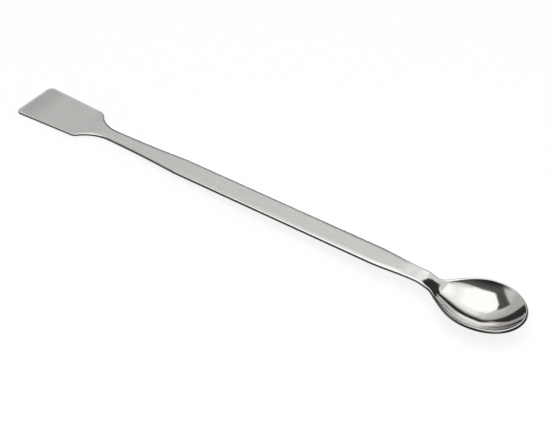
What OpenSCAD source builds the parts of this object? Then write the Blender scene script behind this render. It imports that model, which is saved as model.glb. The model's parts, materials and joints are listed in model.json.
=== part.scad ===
// Laboratory spatula: a square blade, a slim flat handle and a scoop spoon,
// pressed from one piece of steel. Millimetres. It lies along X with the
// spoon toward +X, resting on the blade's end and the underside of the bowl.

/* [Overall] */
// Length from the blade's square end to the tip of the spoon
total_len = 200; // [150:1:240]

/* [Blade] */
// Width of the blade at its square end
blade_tip_w = 19.0; // [14:0.1:26]
// Width of the blade at the shoulders
blade_root_w = 16.6; // [12:0.1:24]
// Distance from the square end to the shoulders
blade_len = 26.5; // [20:0.5:32]
// Thickness of the blade
blade_t = 0.8; // [0.6:0.1:1.6]
// Radius of the two corners at the square end
tip_r = 2.4; // [1:0.1:4]
// Size of the small rounding at each shoulder
shoulder_r = 1.4; // [0.8:0.1:2.5]

/* [Handle] */
// Width of the narrow neck behind the blade
neck_w = 5.9; // [4:0.1:8]
// Radius of the hollow sweep from the shoulder to the neck
sweep_r = 14.3; // [11:0.1:20]
// Length over which the handle widens from the neck
widen_len = 30.5; // [15:1:45]
// Width of the parallel part of the handle
handle_w = 8.7; // [6.5:0.1:12]
// Thickness of the handle
handle_t = 1.2; // [0.8:0.1:2]
// Width of the rounding along the handle's long edges
bevel_w = 0.9; // [0.4:0.1:1.4]
// Length over which the handle narrows toward the spoon
taper_len = 19.5; // [10:0.5:30]
// Length over which the sheet's thickness and edge change at each end
blend_len = 16; // [8:0.5:18]

/* [Spoon] */
// Length of the bowl from its neck to its tip
bowl_len = 32.4; // [26:0.1:42]
// Distance from the bowl's neck to its widest place
widest_len = 18.3; // [12:0.1:22]
// Width of the neck that joins the bowl
spoon_neck_w = 6.6; // [5:0.1:10]
// Width of the bowl at its widest
bowl_w = 24.0; // [16:0.1:30]
// Length of the plain neck before the bowl
spoon_neck_len = 3.6; // [3:0.1:10]
// Depth of the bowl below its rim
bowl_depth = 5.4; // [3:0.1:8]
// Steepness of the bowl's walls, higher is a flatter floor
wall_p = 2.3; // [1.8:0.1:3.5]
// Distance from the bowl's neck to its deepest place
floor_len = 18.7; // [14:0.1:22]
// Length of the groove that leads into the bowl
groove_len = 5.5; // [3:0.1:9]
// Thickness of the bowl's wall
bowl_t = 1.2; // [0.7:0.1:1.6]
// Drop of the neck where it runs into the bowl
neck_drop = 1.8; // [0:0.1:2.5]
// Length of the bend that lowers the neck, before the bowl
bend_len = 4.2; // [3:0.1:12]
// Distance from the bowl's neck to the lowest place of its rim
dip_len = 4; // [2:0.1:7]
// Height of the spoon's tip above the handle
tip_rise = 0.1; // [-1:0.1:4]

/* [Hidden] */

// stations along the length
bowl_x0 = total_len - bowl_len;
bowl_xm = bowl_x0 + widest_len;
bend_x = bowl_x0 - bend_len;
taper_x1 = bowl_x0 - spoon_neck_len;
taper_x0 = taper_x1 - taper_len;
dish_x0 = bowl_x0 - groove_len;
bowl_xe = bowl_x0 + floor_len;
fan_x = blade_tip_w * 0.4;

// the hollow sweep between shoulder and neck
sweep_y = neck_w / 2 + sweep_r;
slope = (blade_root_w - blade_tip_w) / 2 / blade_len;
half_span = sqrt(max(sweep_r * sweep_r - pow(sweep_y - blade_root_w / 2, 2), 0));
neck_x = blade_len + half_span;
sh_x = blade_len;
sh_y = blade_tip_w / 2 + slope * sh_x;
sweep_a0 = 180 + atan2(sweep_y - sh_y, neck_x - sh_x) + shoulder_r / sweep_r * 180 / PI;
widen_x = neck_x + widen_len;
edge_sq = 2.4;

// easing from 0 to 1 with soft ends
function ease(t) = let (u = min(max(t, 0), 1)) u * u * u * (u * (6 * u - 15) + 10);
function mix(a, b, t) = a * (1 - t) + b * t;
function unit(v) = v / max(norm(v), 1e-9);
// cubic between two heights with given slopes
function herm(u, h, z0, s0, z1, s1) =
    (2 * u * u * u - 3 * u * u + 1) * z0 + (u * u * u - 2 * u * u + u) * h * s0
    + (3 * u * u - 2 * u * u * u) * z1 + (u * u * u - u * u) * h * s1;

// sheet thickness and the width of its rounded edge at station x
function thick(x) = blade_t
    + (handle_t - blade_t) * ease((x - blade_len) / blend_len + 0.25)
    + (bowl_t - handle_t) * ease((x - bend_x) / blend_len + 0.25);
function edge_w(x) = blade_t / 2
    + (bevel_w - blade_t / 2) * ease((x - blade_len) / blend_len + 0.25)
    + (bowl_t / 2 - bevel_w) * ease((x - bend_x) / blend_len - 0.2);

// side view: height of the rim line at station x
z_x = [bend_x, bowl_x0 + dip_len, bowl_xm, total_len];
z_z = [0, -neck_drop, -0.05 * neck_drop, tip_rise];
z_s = [0, 0.46 * neck_drop / dip_len, 0.03 * neck_drop, 0.05];
function rim_z(x) = x <= z_x[0] ? 0 :
    let (j = x < z_x[1] ? 0 : x < z_x[2] ? 1 : 2, h = z_x[j + 1] - z_x[j])
    herm((x - z_x[j]) / h, h, z_z[j], z_s[j], z_z[j + 1], z_s[j + 1]);
function dish(x) = bowl_depth * ease((min(x, bowl_xe) - dish_x0) / (bowl_xe - dish_x0));

// plan view: half the outline, from the middle of the square end to the spoon's tip
function steps(a, b, n) = [for (i = [0 : n - 1]) mix(a, b, i / n)];
// the bowl's flare from its neck, with a small round where it starts
function soft(t) = max(norm([t, 0.12]) - 0.12, 0);
function flare(t) = pow(sin(90 * pow(soft(t) / soft(1), 0.82)), 1.15);
bt = blade_tip_w / 2;
hw = handle_w / 2;
nw = neck_w / 2;
sn = spoon_neck_w / 2;
bw = bowl_w / 2;
sh_a = [sh_x - shoulder_r, bt + slope * (sh_x - shoulder_r)];
sh_b = [sh_x, sh_y];
sh_c = [neck_x + sweep_r * cos(sweep_a0), sweep_y + sweep_r * sin(sweep_a0)];
half = [
    for (y = steps(0, bt - tip_r, 5)) [0, y],
    for (a = steps(180, 90, 6)) [tip_r + tip_r * cos(a), bt - tip_r + tip_r * sin(a)],
    for (x = steps(tip_r, sh_a[0], 6)) [x, bt + slope * x],
    for (t = steps(0, 1, 5)) mix(mix(sh_a, sh_b, t), mix(sh_b, sh_c, t), t),
    for (a = steps(sweep_a0, 270, 10)) [neck_x + sweep_r * cos(a), sweep_y + sweep_r * sin(a)],
    for (u = steps(0, 1, 9)) [neck_x + widen_len * u, nw + (hw - nw) * (0.22 * u + 0.78 * u * u)],
    for (x = steps(widen_x, taper_x0, 5)) [x, hw],
    for (x = steps(taper_x0, bowl_x0, 12))
        [x, hw + (sn - hw) * ease((x - taper_x0) / (taper_x1 - taper_x0))],
    for (u = steps(0, 1, 20)) let (t = pow(u, 1.2))
        [mix(bowl_x0, bowl_xm, t), sn + (bw - sn) * flare(t)],
    for (a = steps(0, 90, 16)) [mix(bowl_xm, total_len, sin(a)), bw * cos(a)],
    [total_len, 0]
];
nh = len(half);
loop = [for (p = half) p, for (i = [nh - 2 : -1 : 1]) [half[i][0], -half[i][1]]];
nl = len(loop);
function wrap(i) = (i + nl) % nl;

// the sheet's mid surface: rings from the edge in to a spine on the centre line
fr = [0, 0.03, 0.08, 0.15, 0.24, 0.35, 0.48, 0.63, 0.8];
nf = len(fr);
out2 = [for (i = [0 : nl - 1])
    let (t = unit(loop[wrap(i + 1)] - loop[wrap(i - 1)])) [-t[1], t[0]]];
base = [for (i = [0 : nl - 1]) loop[i] - out2[i] * edge_w(loop[i][0])];
spine_x = [for (p = loop) min(max(p[0], fan_x), bowl_xe)];
function mid_z(x, f) = rim_z(x) - dish(x) * (1 - pow(1 - f, wall_p));
function mid_p(i, f) = let (x = mix(base[i][0], spine_x[i], f)) [x, base[i][1] * (1 - f), mid_z(x, f)];
mids = [for (f = fr) [for (i = [0 : nl - 1]) mid_p(i, f)]];
function up(v) = v[2] < 0 ? -v : v;
function nrm(k, i) = up(unit(cross(
    mids[k][wrap(i + 1)] - mids[k][wrap(i - 1)],
    (k == nf - 1 ? mid_p(i, 0.9) : mids[k + 1][i]) - mids[max(k - 1, 0)][i])));
nrms = [for (k = [0 : nf - 1]) [for (i = [0 : nl - 1]) nrm(k, i)]];

// the spine itself
fan_a = len([for (i = [0 : nh - 1]) if (half[i][0] <= fan_x) 1]);
fan_b = len([for (i = [0 : nh - 1]) if (half[i][0] < bowl_xe) 1]);
sp_x = [fan_x, for (i = [fan_a : fan_b - 1]) half[i][0], bowl_xe];
ns = len(sp_x);
function half_i(i) = i < nh ? i : nl - i;
function sp_i(i) = min(max(half_i(i) - fan_a + 1, 0), ns - 1);
function sp_n(x) = unit([-(mid_z(x + 0.1, 1) - mid_z(x - 0.1, 1)) / 0.2, 0, 1]);
function sp_p(x, s) = [x, 0, mid_z(x, 1)] + sp_n(x) * s * thick(x) / 2;

// skins above and below the mid surface, and the rounded edge between them
function skin(s) = [for (k = [1 : nf - 1]) each
    [for (i = [0 : nl - 1]) mids[k][i] + nrms[k][i] * s * thick(mids[k][i][0]) / 2]];
function flip(v, o) = v[0] * o[0] + v[1] * o[1] < 0 ? -v : v;
out3 = [for (i = [0 : nl - 1])
    flip(unit(cross(mids[0][wrap(i + 1)] - mids[0][wrap(i - 1)], nrms[0][i])), out2[i])];
arc = [90, 68, 47, 25, 0, -25, -47, -68, -90];
na = len(arc);
function spow(v) = sign(v) * pow(abs(v), 2 / edge_sq);
edge = [for (a = arc) each [for (i = [0 : nl - 1]) mids[0][i]
    + nrms[0][i] * spow(sin(a)) * thick(mids[0][i][0]) / 2
    + out3[i] * (abs(a) == 90 ? 0 : spow(cos(a))) * edge_w(loop[i][0])]];

pts = [each edge, each skin(1), each skin(-1),
    for (x = sp_x) sp_p(x, 1), for (x = sp_x) sp_p(x, -1)];
o_top = na * nl;
o_bot = o_top + (nf - 1) * nl;
o_st = o_bot + (nf - 1) * nl;
o_sb = o_st + ns;
function band(a, b, r) = [for (i = [0 : nl - 1]) let (j = wrap(i + 1)) each
    (r ? [[a + i, b + i, b + j], [a + i, b + j, a + j]]
       : [[a + i, b + j, b + i], [a + i, a + j, b + j]])];
function close(a, s, r) = [for (i = [0 : nl - 1])
    let (j = wrap(i + 1), p = s + sp_i(i), q = s + sp_i(j)) each
    (p == q ? [r ? [a + i, p, a + j] : [a + i, a + j, p]]
        : r ? [[a + i, p, q], [a + i, q, a + j]] : [[a + i, q, p], [a + i, a + j, q]])];
faces = [
    for (k = [0 : na - 2]) each band(k * nl, (k + 1) * nl, true),
    each band(0, o_top, false),
    for (k = [0 : nf - 3]) each band(o_top + k * nl, o_top + (k + 1) * nl, false),
    each close(o_top + (nf - 2) * nl, o_st, false),
    each band((na - 1) * nl, o_bot, true),
    for (k = [0 : nf - 3]) each band(o_bot + k * nl, o_bot + (k + 1) * nl, true),
    each close(o_bot + (nf - 2) * nl, o_sb, true)
];

// the angle at which it rests: a line under the blade's end and the bowl
rest_x = 0.2 * blade_t;
rest_z = -blade_t / 2;
under = [for (x = sp_x) if (x > bowl_x0) sp_p(x, -1)];
rest_a = max([for (p = under) atan2(rest_z - p[2], p[0] - rest_x)]);

turned_x = [for (p = pts) (p[0] - rest_x) * cos(rest_a) - (p[2] - rest_z) * sin(rest_a)];
mid_x = (min(turned_x) + max(turned_x)) / 2;

module spatula() {
    color([0.78, 0.78, 0.77])
    translate([-mid_x, 0, 0])
    rotate([0, -rest_a, 0])
    translate([-rest_x, 0, -rest_z])
    polyhedron(points = pts, faces = faces, convexity = 6);
}

spatula();
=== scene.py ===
"""A one-piece steel laboratory spatula: square blade, flat handle and scoop spoon."""
import json
import math

import bpy
from mathutils import Matrix, Vector


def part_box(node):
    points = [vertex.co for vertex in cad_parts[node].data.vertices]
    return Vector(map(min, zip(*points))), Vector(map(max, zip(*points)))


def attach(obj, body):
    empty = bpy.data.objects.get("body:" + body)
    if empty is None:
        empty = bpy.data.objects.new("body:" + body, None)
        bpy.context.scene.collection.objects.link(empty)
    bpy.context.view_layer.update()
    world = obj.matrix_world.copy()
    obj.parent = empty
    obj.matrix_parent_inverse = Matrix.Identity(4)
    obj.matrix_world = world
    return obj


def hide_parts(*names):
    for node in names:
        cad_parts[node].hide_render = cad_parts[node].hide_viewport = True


MM = 0.001

# ---------------------------------------------------------------- the spatula's sizes
# Millimetres, measured along the spatula from its square end.
TOTAL_LEN = 200.0
BLADE = {"tip_w": 19.0, "root_w": 16.6, "length": 26.5, "tip_r": 2.4, "shoulder_r": 1.4}
HANDLE = {"neck_w": 5.9, "sweep_r": 14.3, "widen_len": 30.5, "width": 8.7, "taper_len": 19.5}
SPOON = {"length": 32.4, "widest": 18.3, "neck_w": 6.6, "neck_len": 3.6, "width": 24.0}
BOWL_START = TOTAL_LEN - SPOON["length"]

# The sizes that the sheet's tree takes as its inputs, under these names.
SHEET = {
    "Length": TOTAL_LEN,
    "Blade length": BLADE["length"],
    "Blade thickness": 0.8,
    "Handle thickness": 1.2,
    "Bowl thickness": 1.2,
    "Handle edge width": 0.9,
    "Edge squareness": 2.4,
    "Blend length": 16.0,
    "Fan start": BLADE["tip_w"] * 0.4,
    "Bowl start": BOWL_START,
    "Widest": SPOON["widest"],
    "Floor": 18.7,
    "Groove": 5.5,
    "Bowl depth": 5.4,
    "Wall steepness": 2.3,
    "Bend": 4.2,
    "Dip": 4.0,
    "Neck drop": 1.8,
    "Tip rise": 0.1,
}

# The outline's curved parts.
WIDEN_EVEN = 0.22       # the share of the handle's widening that is a straight line
FLARE_ONSET = 0.12      # how softly the bowl's flare begins
FLARE_REACH = 0.82      # below 1, the flare opens sooner
FLARE_FULLNESS = 1.15   # above 1, its start is more hollow
FLARE_SPACING = 1.2     # above 1, its points crowd toward its start

# The rim line in side view: heights and slopes as shares of the neck's drop.
DIP_SLOPE = 0.46        # times the drop over the dip's length, at the lowest point
WIDEST_HEIGHT = -0.05   # at the bowl's widest point
WIDEST_SLOPE = 0.03
TIP_SLOPE = 0.05        # a plain slope, at the tip

# The rounded edge: its width as a share of the thickness, and how far the outline comes in for it.
BLADE_EDGE = 0.5
BOWL_EDGE = 0.3
BOWL_EDGE_INSET = 0.415
THICKNESS_LEAD = 0.25   # how early the thickness changes, as a share of the blend's length
EDGE_LEAD = -0.2        # the edge's width changes late at the bowl

# The mesh.
OUTLINE_POINTS = {"end": 12, "corner": 16, "side": 30, "shoulder": 14, "sweep": 40, "widening": 40,
                  "parallel": 24, "taper": 48, "flare": 100, "tip": 96}
RINGS = 36              # rows of faces from the edge to the centre line, on each side
EDGE_ROWS = 20          # rows of faces round the edge
RING_SPACING = 1.4      # above 1, the rings crowd toward the edge
SLICE = 0.006           # the step inward, each way, that measures the slope
SLOPE_STOP = 0.985      # how near the centre line the slope round the edge is measured
WELD = 0.005 * MM
TOUCH = 0.00001         # keeps the joined cubics from leaving a gap
EDGE_END = 0.499        # rows that turn further than this from the middle stand out no more


# ---------------------------------------------------------------- plain helpers
def steps(start, end, count):
    """count numbers from start, stopping one step short of end."""
    return [start + (end - start) * k / count for k in range(count)]


def ease(t):
    """0 to 1 with soft ends."""
    t = min(max(t, 0.0), 1.0)
    return t * t * t * (t * (6 * t - 15) + 10)


def soft_start(t):
    """Rises from 0, slowly at first."""
    return math.hypot(t, FLARE_ONSET) - FLARE_ONSET


# ---------------------------------------------------------------- the outline
def blade_side():
    """Plan view, from the middle of the square end to the narrow neck, and where the neck is."""
    end_w, root_w, corner = BLADE["tip_w"] / 2, BLADE["root_w"] / 2, BLADE["tip_r"]
    length, shoulder, radius = BLADE["length"], BLADE["shoulder_r"], HANDLE["sweep_r"]
    slope = (root_w - end_w) / length
    points = [(0.0, y) for y in steps(0, end_w - corner, OUTLINE_POINTS["end"])]
    for a in steps(math.pi, math.pi / 2, OUTLINE_POINTS["corner"]):
        points.append((corner + corner * math.cos(a), end_w - corner + corner * math.sin(a)))
    # where the hollow sweep begins, a little past the shoulder's corner
    centre_y = HANDLE["neck_w"] / 2 + radius
    neck_x = length + math.sqrt(radius ** 2 - (centre_y - root_w) ** 2)
    corner_y = end_w + slope * length
    first = math.pi + math.atan2(centre_y - corner_y, neck_x - length) + shoulder / radius
    # the long side, and the small round at its shoulder
    side_end = length - shoulder
    a_pt = (side_end, end_w + slope * side_end)
    b_pt = (length, corner_y)
    c_pt = (neck_x + radius * math.cos(first), centre_y + radius * math.sin(first))
    points += [(x, end_w + slope * x) for x in steps(corner, side_end, OUTLINE_POINTS["side"])]
    for t in steps(0, 1, OUTLINE_POINTS["shoulder"]):
        points.append(tuple(
            (1 - t) ** 2 * a + 2 * t * (1 - t) * b + t * t * c for a, b, c in zip(a_pt, b_pt, c_pt)
        ))
    for a in steps(first, 1.5 * math.pi, OUTLINE_POINTS["sweep"]):
        points.append((neck_x + radius * math.cos(a), centre_y + radius * math.sin(a)))
    return points, neck_x


def handle_side(neck_x):
    """The widening, the parallel part and the taper, up to the bowl."""
    neck_w, width, spoon_neck = HANDLE["neck_w"] / 2, HANDLE["width"] / 2, SPOON["neck_w"] / 2
    parallel_start = neck_x + HANDLE["widen_len"]
    taper_start = BOWL_START - SPOON["neck_len"] - HANDLE["taper_len"]
    points = []
    for u in steps(0, 1, OUTLINE_POINTS["widening"]):
        rise = WIDEN_EVEN * u + (1 - WIDEN_EVEN) * u * u
        points.append((neck_x + HANDLE["widen_len"] * u, neck_w + (width - neck_w) * rise))
    points += [(x, width) for x in steps(parallel_start, taper_start, OUTLINE_POINTS["parallel"])]
    for x in steps(taper_start, BOWL_START, OUTLINE_POINTS["taper"]):
        t = ease((x - taper_start) / HANDLE["taper_len"])
        points.append((x, width + (spoon_neck - width) * t))
    return points


def spoon_side():
    """The bowl's flare and its round end."""
    neck_w, bowl_w = SPOON["neck_w"] / 2, SPOON["width"] / 2
    widest = BOWL_START + SPOON["widest"]
    points = []
    for u in steps(0, 1, OUTLINE_POINTS["flare"]):
        t = u ** FLARE_SPACING
        opened = (soft_start(t) / soft_start(1)) ** FLARE_REACH
        flare = math.sin(math.pi / 2 * opened) ** FLARE_FULLNESS
        points.append((BOWL_START + SPOON["widest"] * t, neck_w + (bowl_w - neck_w) * flare))
    for a in steps(0, math.pi / 2, OUTLINE_POINTS["tip"]):
        points.append((widest + (TOTAL_LEN - widest) * math.sin(a), bowl_w * math.cos(a)))
    points.append((TOTAL_LEN, 0.0))
    return points


def outline_curve():
    """The whole outline as one closed curve on the handle's plane, and its number of points."""
    points, neck_x = blade_side()
    half = points + handle_side(neck_x) + spoon_side()
    loop = half + [(x, -y) for x, y in half[-2:0:-1]]
    curve = bpy.data.curves.new("outline", "CURVE")
    curve.dimensions = "3D"
    spline = curve.splines.new("POLY")
    spline.points.add(len(loop) - 1)
    for point, (x, y) in zip(spline.points, loop):
        point.co = (x - TOTAL_LEN, y, 0.0, 1.0)
    spline.use_cyclic_u = True
    outline = bpy.data.objects.new("outline", curve)
    bpy.context.scene.collection.objects.link(outline)
    return outline, len(loop)


# ---------------------------------------------------------------- formulas in a node tree
class Quantity:
    """A number or a vector in a node tree, so that formulas read as written."""

    def __init__(self, tree, socket):
        self.tree, self.socket = tree, socket

    def __add__(self, other):
        return number(self.tree, "ADD", self, other)

    def __sub__(self, other):
        return number(self.tree, "SUBTRACT", self, other)

    def __rsub__(self, other):
        return number(self.tree, "SUBTRACT", other, self)

    def __mul__(self, other):
        return number(self.tree, "MULTIPLY", self, other)

    def __truediv__(self, other):
        return number(self.tree, "DIVIDE", self, other)

    def __rtruediv__(self, other):
        return number(self.tree, "DIVIDE", other, self)

    def __pow__(self, other):
        return number(self.tree, "POWER", self, other)

    __radd__, __rmul__ = __add__, __mul__


def feed(tree, socket, value):
    """Links a quantity or another node's output to a socket, or sets the socket's own value."""
    if isinstance(value, Quantity):
        value = value.socket
    if isinstance(value, bpy.types.NodeSocket):
        tree.links.new(value, socket)
    else:
        socket.default_value = value


def add_node(tree, kind, inputs=(), **settings):
    """A node with its settings, fed in the order of its inputs or by their names."""
    node = tree.nodes.new(kind)
    for name, value in settings.items():
        setattr(node, name, value)
    pairs = inputs.items() if isinstance(inputs, dict) else enumerate(inputs)
    for key, value in pairs:
        feed(tree, node.inputs[key], value)
    return node


def result(tree, kind, inputs=(), output=0, **settings):
    """One output of a new node, as a quantity."""
    return Quantity(tree, add_node(tree, kind, inputs, **settings).outputs[output])


def number(tree, operation, *values):
    return result(tree, "ShaderNodeMath", values, operation=operation)


def vector(tree, operation, *values):
    return result(tree, "ShaderNodeVectorMath", values, operation=operation)


def scaled(tree, direction, factor):
    return result(tree, "ShaderNodeVectorMath", {0: direction, "Scale": factor}, operation="SCALE")


def xyz(tree, *values):
    return result(tree, "ShaderNodeCombineXYZ", values)


def parts_of(tree, value):
    """The x, y and z of a vector."""
    node = add_node(tree, "ShaderNodeSeparateXYZ", [value])
    return [Quantity(tree, output) for output in node.outputs]


def limit(tree, value, low, high):
    return number(tree, "MINIMUM", number(tree, "MAXIMUM", value, low), high)


def eased(tree, value):
    """0 to 1 with soft ends, as ease() is."""
    t = limit(tree, value, 0.0, 1.0)
    return t * t * t * (t * (t * 6.0 - 15.0) + 10.0)


def signed_power(tree, value, exponent):
    return number(tree, "SIGN", value) * number(tree, "ABSOLUTE", value) ** exponent


def named(tree, given):
    """A tree's inputs as quantities, by name."""
    return {socket.name: Quantity(tree, socket) for socket in given.outputs if socket.name}


def new_tree(name, geometry_in, others, made, made_kind):
    """A geometry tree with a named input for each size, and its group input and output nodes."""
    tree = bpy.data.node_groups.new(name, "GeometryNodeTree")
    face = tree.interface
    face.new_socket(name=geometry_in, in_out="INPUT", socket_type="NodeSocketGeometry")
    for other, kind in others:
        face.new_socket(name=other, in_out="INPUT", socket_type=kind)
    for size, value in SHEET.items():
        face.new_socket(name=size, in_out="INPUT", socket_type="NodeSocketFloat").default_value = value
    face.new_socket(name=made, in_out="OUTPUT", socket_type=made_kind)
    return tree, tree.nodes.new("NodeGroupInput"), tree.nodes.new("NodeGroupOutput")


# ---------------------------------------------------------------- the pressed sheet
def rim_height(tree, size, x):
    """Side view: how high the rim line lies at x, in three joined cubics."""
    drop = size["Neck drop"]
    knots = [
        (size["Bowl start"] - size["Bend"], 0.0, 0.0),
        (size["Bowl start"] + size["Dip"], drop * -1.0, drop * DIP_SLOPE / size["Dip"]),
        (size["Bowl start"] + size["Widest"], drop * WIDEST_HEIGHT, drop * WIDEST_SLOPE),
        (size["Length"], size["Tip rise"], TIP_SLOPE),
    ]
    last = len(knots) - 2
    height = 0.0
    for k, ((x0, z0, s0), (x1, z1, s1)) in enumerate(zip(knots, knots[1:])):
        span = x1 - x0
        u = (x - x0) / span
        u2 = u * u
        u3 = u2 * u
        cubic = (
            (u3 * 2.0 - u2 * 3.0 + 1.0) * z0 + (u3 - u2 * 2.0 + u) * (span * s0)
            + (u2 * 3.0 - u3 * 2.0) * z1 + (u3 - u2) * (span * s1)
        )
        inside = number(tree, "GREATER_THAN", x, x0)
        if k < last:
            inside = inside * number(tree, "LESS_THAN", x, x1 + TOUCH)
        height = cubic * inside + height
    return height


def middle_tree():
    """A node group: the point of the sheet's mid surface at a place round the edge, and inward."""
    tree, given, leave = new_tree("sheet middle", "Edge line",
                                  [("Place", "NodeSocketFloat"), ("Inward", "NodeSocketFloat")],
                                  "Point", "NodeSocketVector")
    size = named(tree, given)
    line, inward = size["Edge line"], size["Inward"]
    total = result(tree, "GeometryNodeAttributeDomainSize", [line], "Point Count", component="CURVE")
    # a quarter of a step more, so that rounding down can't slip to the place before
    place = number(tree, "FLOORED_MODULO", size["Place"] + total + 0.25, total)
    position = result(tree, "GeometryNodeInputPosition")
    edge = result(tree, "GeometryNodeSampleIndex",
                  {"Geometry": line, "Value": position, "Index": number(tree, "FLOOR", place)},
                  data_type="FLOAT_VECTOR", domain="POINT")
    edge_x, edge_y, _ = parts_of(tree, edge)
    # the point on the centre line that this place runs in to
    deepest = size["Bowl start"] + size["Floor"]
    near, far = size["Fan start"] - size["Length"], deepest - size["Length"]
    centre_x = limit(tree, edge_x, near, far)
    x = edge_x + (centre_x - edge_x) * inward
    y = edge_y * (1.0 - inward)
    # the rim line, less the hollow of the bowl
    along = x + size["Length"]
    start = size["Bowl start"] - size["Groove"]
    reach = number(tree, "MINIMUM", along, deepest)
    depth = size["Bowl depth"] * eased(tree, (reach - start) / (deepest - start))
    wall = 1.0 - number(tree, "MAXIMUM", 1.0 - inward, 0.0) ** size["Wall steepness"]
    point = xyz(tree, x, y, rim_height(tree, size, along) - depth * wall)
    feed(tree, leave.inputs["Point"], point)
    return tree


def by_station(tree, size, x, blade, handle, bowl, lead):
    """A size that changes along the sheet: blade, then handle, then bowl."""
    first = eased(tree, (x - size["Blade length"]) / size["Blend length"] + THICKNESS_LEAD)
    bend = size["Bowl start"] - size["Bend"]
    second = eased(tree, (x - bend) / size["Blend length"] + lead)
    return blade + (handle - blade) * first + (bowl - handle) * second


def edge_width(tree, size, x, bowl_share):
    """The width of the rounded edge at x, with the bowl's as a share of its thickness."""
    return by_station(tree, size, x, size["Blade thickness"] * BLADE_EDGE, size["Handle edge width"],
                      size["Bowl thickness"] * bowl_share, EDGE_LEAD)


def edge_line(tree, size):
    """The outline brought in by the edge's width, so that the rounded edge ends on the outline."""
    tx, ty, _ = parts_of(tree, result(tree, "GeometryNodeInputTangent"))
    px, _, _ = parts_of(tree, result(tree, "GeometryNodeInputPosition"))
    inset = edge_width(tree, size, px + size["Length"], BOWL_EDGE_INSET)
    offset = xyz(tree, ty * inset, tx * inset * -1.0, 0.0)
    return result(tree, "GeometryNodeSetPosition", {"Geometry": size["Outline"], "Offset": offset})


def sheet_grid(tree, columns):
    """A grid whose columns go round the edge and whose rows go over it, top to underside."""
    rows = 2 * RINGS + EDGE_ROWS
    grid = result(tree, "GeometryNodeMeshGrid", {"Size X": float(columns), "Size Y": float(rows),
                                                 "Vertices X": columns + 1, "Vertices Y": rows + 1})
    x, y, _ = parts_of(tree, result(tree, "GeometryNodeInputPosition"))
    return grid, number(tree, "ROUND", x + columns / 2), number(tree, "ROUND", y + rows / 2)


def edge_profile(tree, size, row):
    """How far inward a row lies, and how far it stands up and out on the rounded edge."""
    top = limit(tree, 1.0 - row / RINGS, 0.0, 1.0)
    under = limit(tree, (row - (RINGS + EDGE_ROWS)) / RINGS, 0.0, 1.0)
    inward = (top + under) ** RING_SPACING
    turn = limit(tree, (row - RINGS) / EDGE_ROWS, 0.0, 1.0)
    angle = (0.5 - turn) * math.pi
    power = 2.0 / size["Edge squareness"]
    lift = signed_power(tree, number(tree, "SINE", angle), power)
    on_edge = number(tree, "LESS_THAN", number(tree, "ABSOLUTE", turn - 0.5), EDGE_END)
    cosine = number(tree, "MAXIMUM", number(tree, "COSINE", angle), 0.0)
    return inward, lift, signed_power(tree, cosine, power) * on_edge


def sheet_tree(middle, columns):
    """The tree that turns the outline into the pressed sheet, with its rounded edge."""
    tree, given, leave = new_tree("pressed sheet", "Outline",
                                  [("Tilt", "NodeSocketFloat"), ("Steel", "NodeSocketMaterial")],
                                  "Sheet", "NodeSocketGeometry")
    size = named(tree, given)
    line = edge_line(tree, size)
    sheet, place, row = sheet_grid(tree, columns)
    inward, lift, out = edge_profile(tree, size, row)

    def middle_at(at, depth):
        """The mid surface's point at a place round the edge, at a depth inward."""
        inputs = {"Edge line": line, "Place": at, "Inward": depth}
        inputs.update({name: size[name] for name in SHEET})
        return result(tree, "GeometryNodeGroup", inputs, node_tree=middle)

    # the mid surface, and its directions up and outward
    point = middle_at(place, inward)
    near = number(tree, "MINIMUM", inward, SLOPE_STOP)
    round_it = vector(tree, "SUBTRACT", middle_at(place + 1.0, near), middle_at(place - 1.0, near))
    inner = limit(tree, inward + SLICE, 0.0, 1.0)
    outer = limit(tree, inward - SLICE, 0.0, 1.0)
    across = vector(tree, "SUBTRACT", middle_at(place, inner), middle_at(place, outer))
    raw = vector(tree, "CROSS_PRODUCT", round_it, across)
    _, _, rz = parts_of(tree, raw)
    normal = vector(tree, "NORMALIZE", scaled(tree, raw, number(tree, "SIGN", rz)))
    # the outline runs clockwise seen from above, so this side is outward
    outward = vector(tree, "NORMALIZE", vector(tree, "CROSS_PRODUCT", normal, round_it))

    # the skin: half the thickness up or down, and the edge's width out, tilted as it rests
    x, _, _ = parts_of(tree, point)
    along = x + size["Length"]
    half_t = 0.5 * by_station(tree, size, along, size["Blade thickness"], size["Handle thickness"],
                              size["Bowl thickness"], THICKNESS_LEAD)
    edge_w = edge_width(tree, size, along, BOWL_EDGE)
    on_skin = vector(tree, "ADD", point, scaled(tree, normal, half_t * lift))
    final = vector(tree, "ADD", on_skin, scaled(tree, outward, edge_w * out))
    turned = result(tree, "ShaderNodeVectorRotate", {"Vector": final, "Angle": size["Tilt"] * -1.0},
                    rotation_type="Y_AXIS")
    metres = vector(tree, "MULTIPLY", turned, (MM, MM, MM))

    # the marks that the finish follows: over the edge, millimetres in from the rim, and along
    to_rim = result(tree, "ShaderNodeVectorMath", [point, middle_at(place, inward * 0.0)], "Value",
                    operation="DISTANCE")
    marks = {"edge": out, "inset": to_rim - edge_w * out, "along": along / size["Length"]}
    for name, value in marks.items():
        sheet = result(tree, "GeometryNodeStoreNamedAttribute",
                       {"Geometry": sheet, "Name": name, "Value": value},
                       data_type="FLOAT", domain="POINT")

    # one closed, smooth mesh
    sheet = result(tree, "GeometryNodeSetPosition", {"Geometry": sheet, "Position": metres})
    sheet = result(tree, "GeometryNodeMergeByDistance", {"Geometry": sheet, "Distance": WELD})
    sheet = result(tree, "GeometryNodeSetShadeSmooth", [sheet])
    sheet = result(tree, "GeometryNodeRealizeInstances", [sheet])
    sheet = result(tree, "GeometryNodeSetMaterial", {"Geometry": sheet, "Material": size["Steel"]})
    feed(tree, leave.inputs["Sheet"], sheet)
    return tree


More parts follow.
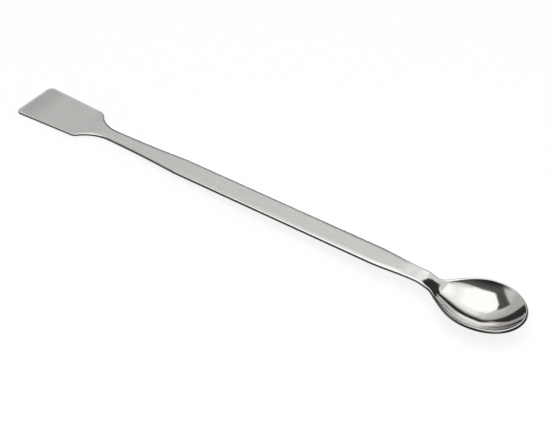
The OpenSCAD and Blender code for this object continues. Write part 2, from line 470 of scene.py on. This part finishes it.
def make_spatula(frame, steel):
    """Builds the sheet and lays it where the CAD node lies."""
    mount = next(m for m in frame["record"]["mounts"] if m["name"] == "handle_flat")
    tilt = math.atan2(-mount["axis"][0], mount["axis"][2])
    outline, columns = outline_curve()
    modifier = outline.modifiers.new("sheet", "NODES")
    tree = sheet_tree(middle_tree(), columns)
    modifier.node_group = tree
    sockets = {s.name: s.identifier for s in tree.interface.items_tree if s.in_out == "INPUT"}
    for name, value in SHEET.items():
        modifier[sockets[name]] = value
    modifier[sockets["Tilt"]] = tilt
    modifier[sockets["Steel"]] = steel
    graph = bpy.context.evaluated_depsgraph_get()
    mesh = bpy.data.meshes.new_from_object(outline.evaluated_get(graph))
    mesh.name = "spatula_steel"
    outline.modifiers.remove(modifier)
    bpy.data.objects.remove(outline)
    # its box meets the CAD node's box: centred along and across, and on the same floor
    low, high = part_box("spatula")
    xs = [v.co.x for v in mesh.vertices]
    shift = Vector(((low[0] + high[0]) / 2 - (min(xs) + max(xs)) / 2, (low[1] + high[1]) / 2,
                    low[2] - min(v.co.z for v in mesh.vertices)))
    mesh.transform(Matrix.Translation(shift))
    # one material, the steel
    mesh.materials.clear()
    mesh.materials.append(steel)
    mesh.polygons.foreach_set("material_index", [0] * len(mesh.polygons))
    piece = bpy.data.objects.new("spatula_steel", mesh)
    bpy.context.scene.collection.objects.link(piece)
    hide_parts("spatula")
    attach(piece, "root")


# ---------------------------------------------------------------- the finish
# Where the finish changes, as shares of the length: where it starts, and over how much.
HANDLE_START = (0.11, 0.05)
BOWL_POLISH_START = (0.765, 0.045)
TIP_START = (0.94, 0.05)
# where the painted shade at the blade's square end fades out
TIP_SHADE_PATCH = (0.010, 0.055)

# Bands beside the rim, in millimetres: how far in they reach, and how soft they end.
ARRIS_BAND = (0.9, 0.9)
# the blade's border: smoother, and painted lighter as a painted highlight
HIGHLIT_BORDER_BAND = (1.1, 0.4)

# The cut edge, from 0 on the flats to 1 at the very rim, rougher and darkened with painted shade:
# where it starts, over how much, and how much sooner on the blade.
SHADED_CUT_START, SHADED_CUT_SOFTNESS, SHADED_CUT_SOONER = 0.77, 0.13, 0.27

# What each part of the finish has, or adds to the steel's own.
ROUGHNESS = {"satin": 0.40, "mirror": 0.085, "arris": -0.22, "highlit_border": -0.06, "shaded_cut_edge": 0.10,
             "scratch": 0.08}
# In the tone, the blade's border is a painted highlight and the patch at its end is painted shade.
TONE = {"steel": 0.78, "satin": -0.065, "arris": 0.12, "highlit_border": 0.07, "painted_tip_shade": -0.11}
# Painted shade on the cut edge, in place of a dark reflection, as a share of its tone: strong on the
# blade and handle, less on the bowl, less again at its tip.
CUT_EDGE_PAINTED_SHADE = {"handle": 0.92, "bowl": -0.14, "tip": -0.30}
SCATTER = 0.3           # the share of the light that the satin scatters, as a fine brushed face does
STEEL_TINT = (1.0, 0.99, 0.97)

# How much the grain varies the roughness and the tone.
SATIN_ROUGH_GRAIN = {"Clouds": 0.06, "Lines": 0.08, "Streaks": 0.08}
MIRROR_ROUGH_GRAIN = {"Clouds": 0.03}
TONE_GRAIN = {"Clouds": 0.05, "Streaks": 0.10, "Lines": 0.05}
SCRATCH_TONE = -0.05

# Relief, by bump: the handle's faces roll over before its edge, and the lines are cut in.
RELIEF = 0.09 * MM
ROLL_BAND = (-0.5, 1.6)
LINE_RELIEF = 0.03

# The grain's sizes, as noise scales, and how far each kind is drawn out along its lines.
GRAIN_SIZES = {"Line size": 9000.0, "Streak size": 1500.0, "Scratch size": 4200.0, "Cloud size": 160.0}
LINE_STRETCH, STREAK_STRETCH, SCRATCH_STRETCH = 0.02, 0.03, 0.012
SCRATCH_ANGLES = (0.10, -0.22, 0.45)
SCRATCH_LEVEL = (0.66, 0.05)
LINE_DETAIL, CLOUD_DETAIL = 3.0, 4.0


def fade(tree, value, band):
    """0 before a band's start and 1 past its width, with soft ends."""
    start, width = band
    return eased(tree, (value - start) / width)


def beside_rim(tree, inset, band):
    """1 at the rim and 0 past a band's reach, with a soft end."""
    reach, softness = band
    return eased(tree, (reach - inset) / softness)


def mark(tree, name):
    """One of the marks that the sheet's tree stored on the mesh."""
    return result(tree, "ShaderNodeAttribute", output="Fac", attribute_name=name)


def noise(tree, place, size, detail):
    return result(tree, "ShaderNodeTexNoise", {"Vector": place, "Scale": size, "Detail": detail})


def lines_along(tree, place, angle, size, stretch):
    """Noise drawn out into lines at an angle to the spatula's length."""
    x, y, z = parts_of(tree, place)
    along = x * math.cos(angle) + y * math.sin(angle)
    across = y * math.cos(angle) - x * math.sin(angle)
    return noise(tree, xyz(tree, along * stretch, across, z), size, LINE_DETAIL)


def grain_group():
    """The marks that polishing leaves: fine lines, broad streaks, soft clouds and stray scratches."""
    tree = bpy.data.node_groups.new("steel grain", "ShaderNodeTree")
    face = tree.interface
    for name, value in GRAIN_SIZES.items():
        face.new_socket(name=name, in_out="INPUT", socket_type="NodeSocketFloat").default_value = value
    size = named(tree, tree.nodes.new("NodeGroupInput"))
    place = result(tree, "ShaderNodeTexCoord", output="Object")
    scratches = None
    for angle in SCRATCH_ANGLES:
        line = lines_along(tree, place, angle, size["Scratch size"], SCRATCH_STRETCH)
        mask = fade(tree, line, SCRATCH_LEVEL)
        scratches = mask if scratches is None else number(tree, "MAXIMUM", scratches, mask)
    marks = {
        "Lines": lines_along(tree, place, 0.0, size["Line size"], LINE_STRETCH),
        "Streaks": lines_along(tree, place, 0.0, size["Streak size"], STREAK_STRETCH),
        "Scratches": scratches,
        "Clouds": noise(tree, place, size["Cloud size"], CLOUD_DETAIL),
    }
    for name in marks:
        face.new_socket(name=name, in_out="OUTPUT", socket_type="NodeSocketFloat")
    add_node(tree, "NodeGroupOutput", marks)
    return tree


def varied(grain, amounts):
    """The grain's swing about its middle, by the amount of each kind."""
    return sum((grain[name] - 0.5) * amount for name, amount in amounts.items())


def tinted(tree, quantity, tint):
    """A colour from one tint, as bright as the quantity."""
    return result(tree, "ShaderNodeCombineColor", [quantity * share for share in tint])


def steel_finish():
    """Polished steel: satin flats with a lengthwise grain, a mirror bowl, cut edges darkened with
    painted shade, and a painted highlight and painted shade at the blade's end.
    """
    material = bpy.data.materials.new("polished_steel")
    material.use_nodes = True
    tree = material.node_tree
    shader = tree.nodes["Principled BSDF"]
    group = add_node(tree, "ShaderNodeGroup", node_tree=grain_group())
    grain = {output.name: Quantity(tree, output) for output in group.outputs}
    along, inset, edge = mark(tree, "along"), mark(tree, "inset"), mark(tree, "edge")

    # where each finish lies
    bowl = fade(tree, along, BOWL_POLISH_START)
    flat = 1.0 - bowl
    blade = 1.0 - fade(tree, along, HANDLE_START)
    # the rim band: rougher, and carrying painted shade; it starts sooner on the blade
    shaded_cut_edge = eased(tree, (edge - SHADED_CUT_START + blade * SHADED_CUT_SOONER) / SHADED_CUT_SOFTNESS)
    arris = beside_rim(tree, inset, ARRIS_BAND) * (1.0 - shaded_cut_edge) * flat * (1.0 - blade)
    # the blade's border, smoother and painted lighter: a painted highlight along the blade's rim
    highlit_border = beside_rim(tree, inset, HIGHLIT_BORDER_BAND) * (1.0 - shaded_cut_edge) * blade
    # painted shade: a darker patch at the blade's square end, inside its border
    painted_tip_shade = (1.0 - fade(tree, along, TIP_SHADE_PATCH)) * (1.0 - highlit_border)

    satin = ROUGHNESS["satin"] + varied(grain, SATIN_ROUGH_GRAIN)
    mirror = ROUGHNESS["mirror"] + varied(grain, MIRROR_ROUGH_GRAIN)
    rough = (
        satin * flat + mirror * bowl + arris * ROUGHNESS["arris"] + highlit_border * ROUGHNESS["highlit_border"]
        + shaded_cut_edge * ROUGHNESS["shaded_cut_edge"] + grain["Scratches"] * flat * ROUGHNESS["scratch"]
    )
    feed(tree, shader.inputs["Roughness"], rough)
    feed(tree, shader.inputs["Metallic"], 1.0 - (1.0 - arris) * flat * SCATTER)

    uneven = varied(grain, TONE_GRAIN) + grain["Scratches"] * SCRATCH_TONE
    # the steel's tone, with the blade border's painted highlight and the painted shade at the blade's
    # end
    tone = TONE["steel"] + (
        TONE["satin"] + arris * TONE["arris"] + highlit_border * TONE["highlit_border"] + painted_tip_shade * TONE["painted_tip_shade"] + uneven
    ) * flat
    # painted shade on the cut edge, lighter on the bowl and at its tip
    edge_shade_strength = (
        CUT_EDGE_PAINTED_SHADE["handle"] + bowl * CUT_EDGE_PAINTED_SHADE["bowl"]
        + fade(tree, along, TIP_START) * CUT_EDGE_PAINTED_SHADE["tip"]
    )
    colour = tinted(tree, tone * (1.0 - shaded_cut_edge * edge_shade_strength), STEEL_TINT)
    feed(tree, shader.inputs["Base Color"], colour)

    rolled = fade(tree, inset, ROLL_BAND) * (1.0 - blade)
    height = (rolled + grain["Lines"] * LINE_RELIEF) * flat
    bump = result(tree, "ShaderNodeBump", {"Distance": RELIEF, "Height": height})
    feed(tree, shader.inputs["Normal"], bump)
    return material


# ---------------------------------------------------------------- floor, light and camera
# The studio as metal sees it: flat panels on the sky, in degrees from straight up, with +X to
# the right and +Y away. Each is a convex shape given by its corners, anticlockwise, with the
# blur of its rim in degrees and its brightness. Each covers what stands before it.
STUDIO_DARK = 0.032
PANELS = [
    # the pale wall on the left, its brighter middle, and the pale wall on the right
    ([(-160, -81), (-100, -160), (10, -160), (4, 55), (-24, 55)], 9, 0.50),
    ([(-56, -40), (-22, -40), (2, 36), (2, 52), (-24, 52), (-48, 8)], 16, 0.66),
    ([(0, -32), (39, -32), (36, -16), (21, 38), (14, 42), (0, 42)], 5, 0.78),
    # the dark flags between them, low in front
    ([(-52, -9), (-22, -54), (-6, -54), (-35, 11)], 5, 0.09),
    ([(-36, -31), (0, -85), (120, -85), (120, -31)], 5, 0.10),
    ([(-60, -41), (0, -130), (120, -130), (120, -41)], 13, 0.028),
    # light from behind on the left, and the brighter strip behind it, low over the floor
    ([(-120, 52), (-35, 52), (-28, 66), (-16, 120), (-120, 120)], 6, 0.58),
    ([(-140, 62), (-38, 62), (-18, 82), (-14, 130), (-140, 130)], 8, 2.2),
    # the large white softbox overhead, its side toward the spoon's neck fading out softly
    ([(-24, 34), (10, 35), (16, 38), (15, 43), (2, 48), (-24, 48)], 5, 1.02),
    ([(-24, -12), (-14, -24), (19, -24), (3, 38), (-18, 38)], 13, 1.27),
    ([(-33, -6), (-23, -29), (11, -29), (-7, 37), (-23, 37), (-33, 8)], 3, 1.27),
]
PLAIN_LIGHT = 0.55                  # the studio's even light on what isn't mirror-like
DARK_TINT = (1.0, 0.96, 0.94)       # the dark parts of the room are a little warm

FLOOR_HALF = 1.5
FLOOR_DROP = 0.0002                 # the floor lies this far below the spatula
FLOOR_TONE, FLOOR_ROUGHNESS = 0.95, 0.8
FLOOR_GLOW = 0.8                    # how much of the floor's look is plain white

LAMP = {"place": (0.15, -0.2, 1.1), "side": 1.2, "power": 9.0}
CAMERA = {"azimuth": 33.753, "elevation": 41.165, "roll": 2.307, "distance": 0.46584,
          "aim": (0.007881, -0.00002, -0.000769), "lens": 91.64, "sensor": 36.0}


def soft_panel(tree, place, corners, blur):
    """1 inside a convex panel on the sky, 0 outside, over a rim blur degrees wide."""
    mask = 1.0
    for (ax, ay), (bx, by) in zip(corners, corners[1:] + corners[:1]):
        length = math.hypot(bx - ax, by - ay)
        inward_x, inward_y = (ay - by) / length, (bx - ax) / length
        offset = inward_x * ax + inward_y * ay
        reach = result(tree, "ShaderNodeVectorMath", [place, (inward_x, inward_y, -offset)], "Value",
                       operation="DOT_PRODUCT")
        ramp = result(tree, "ShaderNodeMapRange",
                      {"Value": reach, "From Min": -blur / 2, "From Max": blur / 2},
                      interpolation_type="SMOOTHERSTEP")
        mask = ramp * mask
    return mask


def sky_place(tree):
    """Where a direction lies on the sky, in degrees from straight up, with 1 as the third part."""
    x, y, z = parts_of(tree, result(tree, "ShaderNodeTexCoord", output="Generated"))
    # kept off zero, for the direction straight up
    flat = number(tree, "MAXIMUM", (x * x + y * y) ** 0.5, 0.0001)
    degrees = number(tree, "ARCCOSINE", limit(tree, z, -1.0, 1.0)) * (180 / math.pi)
    return xyz(tree, degrees * x / flat, degrees * y / flat, 1.0)


def make_world():
    """White to the camera, panels and dark gaps to the metal, and plain grey light elsewhere."""
    world = bpy.data.worlds.new("studio")
    bpy.context.scene.world = world
    world.use_nodes = True
    tree = world.node_tree
    tree.nodes.clear()
    place = sky_place(tree)
    studio = STUDIO_DARK
    for corners, blur, brightness in PANELS:
        mask = soft_panel(tree, place, corners, blur)
        studio = (1.0 - mask) * studio + mask * brightness
    rays = named(tree, tree.nodes.new("ShaderNodeLightPath"))
    glossy = rays["Is Glossy Ray"]
    white = number(tree, "MAXIMUM", rays["Is Camera Ray"], rays["Is Transmission Ray"])
    strength = white + (1.0 - white) * (glossy * studio + (1.0 - glossy) * PLAIN_LIGHT)
    pale = number(tree, "MAXIMUM", white, limit(tree, studio, 0.0, 1.0))
    tint = add_node(tree, "ShaderNodeCombineColor", [warm + pale * (1.0 - warm) for warm in DARK_TINT])
    back = add_node(tree, "ShaderNodeBackground", {"Color": tint.outputs[0], "Strength": strength})
    add_node(tree, "ShaderNodeOutputWorld", [back.outputs[0]])


def make_floor():
    """A pale floor that keeps the spatula's shadow, lifted to white where the camera sees it."""
    mesh = bpy.data.meshes.new("floor")
    half = FLOOR_HALF
    mesh.from_pydata([(-half, -half, 0), (half, -half, 0), (half, half, 0), (-half, half, 0)], [],
                     [(0, 1, 2, 3)])
    floor = bpy.data.objects.new("floor", mesh)
    bpy.context.scene.collection.objects.link(floor)
    floor.location.z = -FLOOR_DROP
    material = bpy.data.materials.new("pale_floor")
    material.use_nodes = True
    tree = material.node_tree
    shader = tree.nodes["Principled BSDF"]
    shader.inputs["Base Color"].default_value = (FLOOR_TONE, FLOOR_TONE, FLOOR_TONE, 1)
    shader.inputs["Roughness"].default_value = FLOOR_ROUGHNESS
    shader.inputs["Specular IOR Level"].default_value = 0.0
    glow = tree.nodes.new("ShaderNodeEmission")
    rays = named(tree, tree.nodes.new("ShaderNodeLightPath"))
    seen = rays["Is Camera Ray"] + rays["Is Glossy Ray"] + rays["Is Transmission Ray"]
    share = number(tree, "MINIMUM", seen, 1.0) * FLOOR_GLOW
    mix = add_node(tree, "ShaderNodeMixShader", [share, shader.outputs[0], glow.outputs[0]])
    feed(tree, tree.nodes["Material Output"].inputs[0], mix.outputs[0])
    mesh.materials.append(material)


def make_lamp():
    """One large soft lamp overhead, a little toward the camera, for the floor's light and shadow."""
    light = bpy.data.lights.new("overhead", "AREA")
    light.shape = "RECTANGLE"
    light.size, light.size_y = LAMP["side"], LAMP["side"]
    light.energy = LAMP["power"]
    lamp = bpy.data.objects.new("overhead", light)
    lamp.location = LAMP["place"]
    lamp.rotation_euler = (Vector((0, 0, 0)) - lamp.location).to_track_quat("-Z", "Y").to_euler()
    lamp.visible_glossy = False
    bpy.context.scene.collection.objects.link(lamp)


def make_camera():
    """From the front right and above, with a long lens."""
    azimuth, elevation, roll = (math.radians(CAMERA[k]) for k in ("azimuth", "elevation", "roll"))
    back = Vector((math.sin(azimuth) * math.cos(elevation), -math.cos(azimuth) * math.cos(elevation),
                   math.sin(elevation)))
    camera = bpy.data.objects.new("camera", bpy.data.cameras.new("camera"))
    bpy.context.scene.collection.objects.link(camera)
    camera.data.lens = CAMERA["lens"]
    camera.data.sensor_width = CAMERA["sensor"]
    camera.location = Vector(CAMERA["aim"]) + back * CAMERA["distance"]
    turn = back.to_track_quat("Z", "Y").to_matrix() @ Matrix.Rotation(roll, 3, "Z")
    camera.rotation_euler = turn.to_euler()
    bpy.context.scene.camera = camera


# ---------------------------------------------------------------- the scene
bpy.context.scene.view_settings.view_transform = "Standard"
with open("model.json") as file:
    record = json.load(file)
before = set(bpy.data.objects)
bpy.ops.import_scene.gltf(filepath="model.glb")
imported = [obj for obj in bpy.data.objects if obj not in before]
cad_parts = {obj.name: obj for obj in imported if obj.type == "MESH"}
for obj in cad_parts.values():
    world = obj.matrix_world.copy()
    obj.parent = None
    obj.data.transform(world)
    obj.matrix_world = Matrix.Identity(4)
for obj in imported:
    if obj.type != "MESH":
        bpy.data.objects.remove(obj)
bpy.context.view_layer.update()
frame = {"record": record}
make_camera()
make_world()
make_floor()
make_lamp()
make_spatula(frame, steel_finish())
